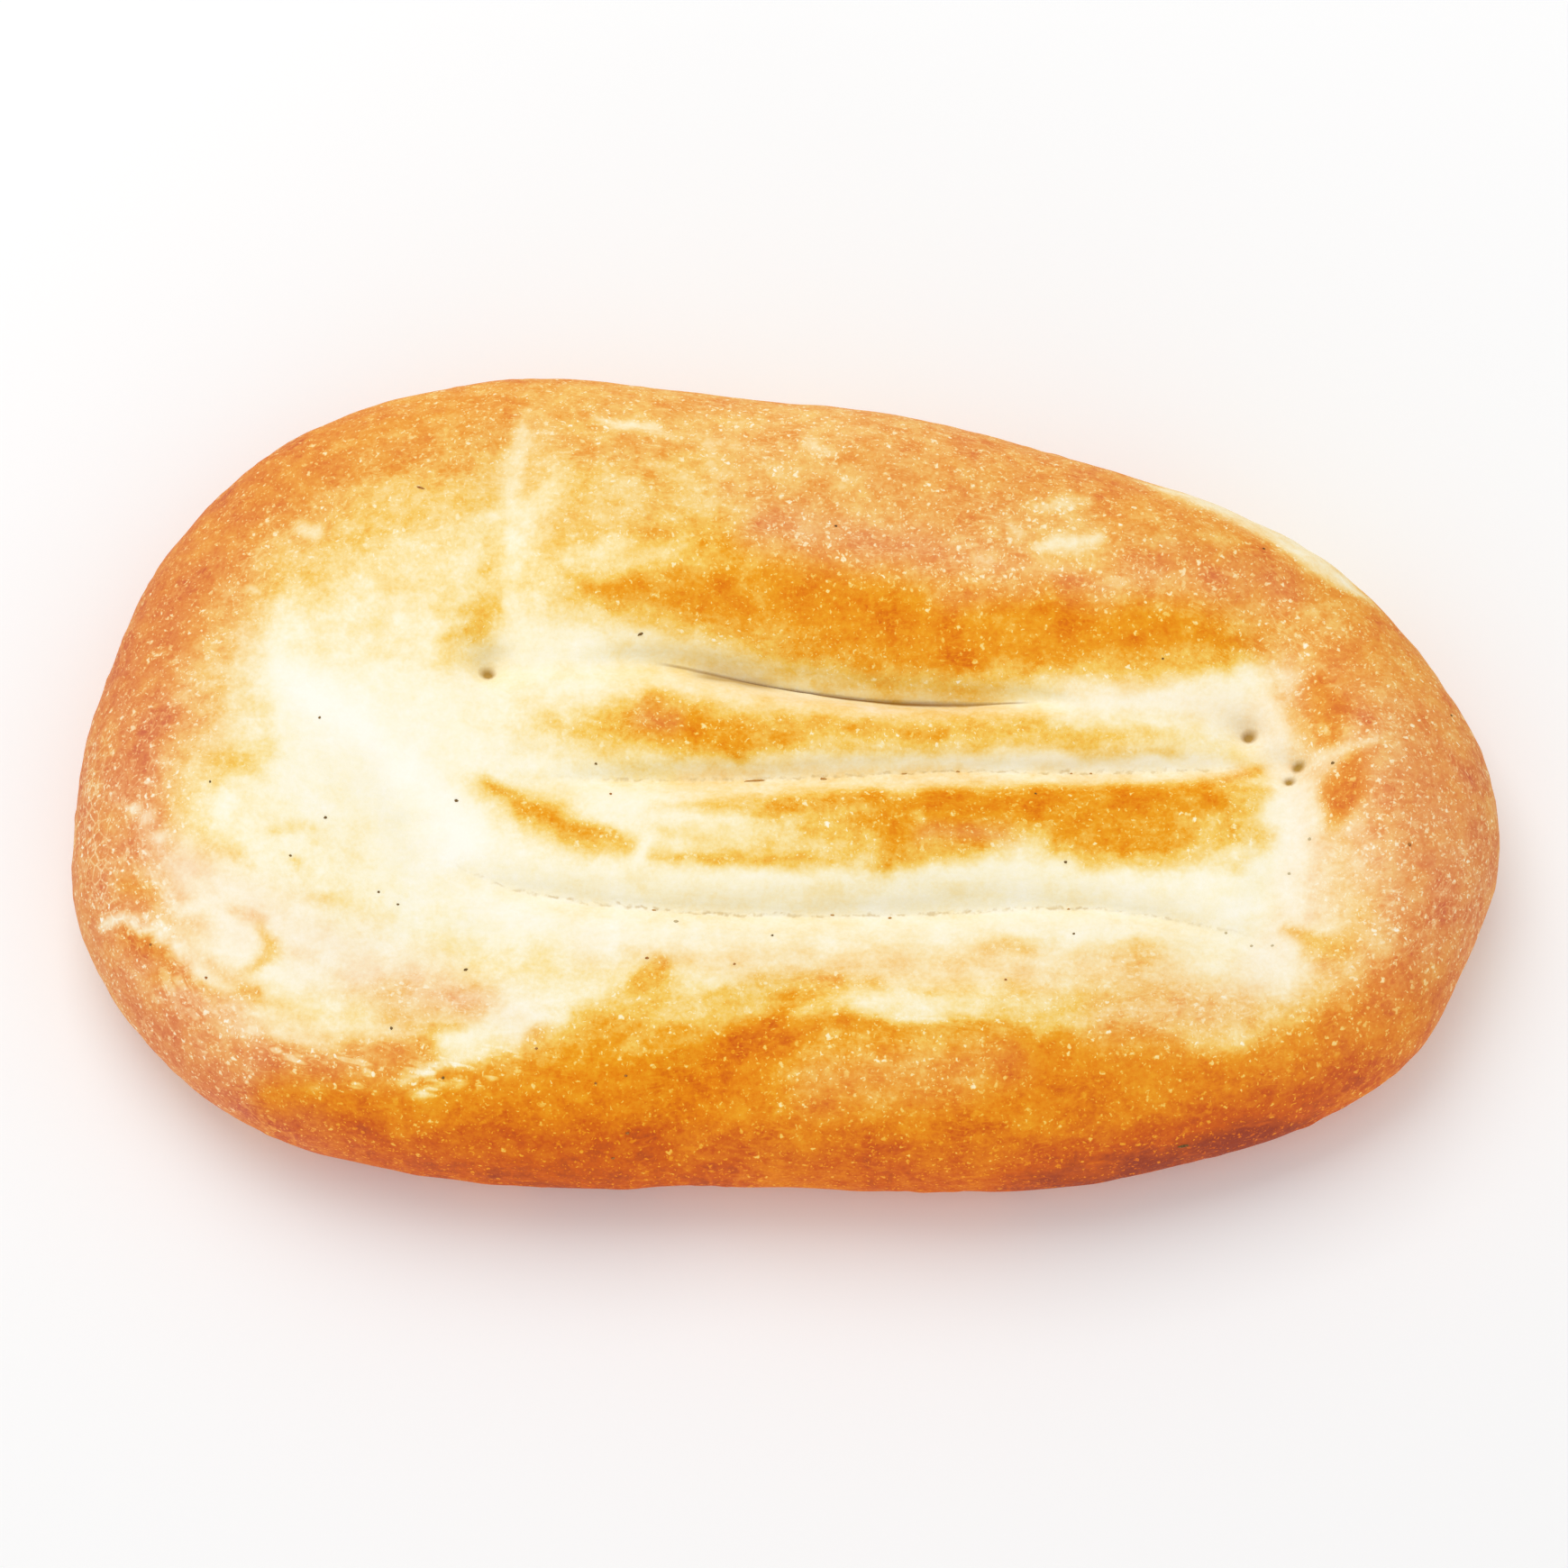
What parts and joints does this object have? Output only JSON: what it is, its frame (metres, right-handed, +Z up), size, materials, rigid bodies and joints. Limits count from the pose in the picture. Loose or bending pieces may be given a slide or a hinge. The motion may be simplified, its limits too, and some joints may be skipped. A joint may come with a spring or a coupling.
{
  "type": "flatbread",
  "caption": "Oval leavened flatbread with a puffy rim and a pressed middle of long grooves and soft ridges, baked golden brown, for serving whole.",
  "frame": {"origin": "on the resting surface, under the middle of the loaf's box", "axes": "+X along the loaf, towards its narrower end; +Y across it, away from the viewer; +Z up"},
  "size_m": [0.2998, 0.1802, 0.0476],
  "materials": {
    "crust": "matt baked crust, cream where the dough stayed pale, golden to reddish brown on the rim and ridges"
  },
  "bodies": {
    "root": {"flatbread": "crust"}
  },
  "joints": []
}
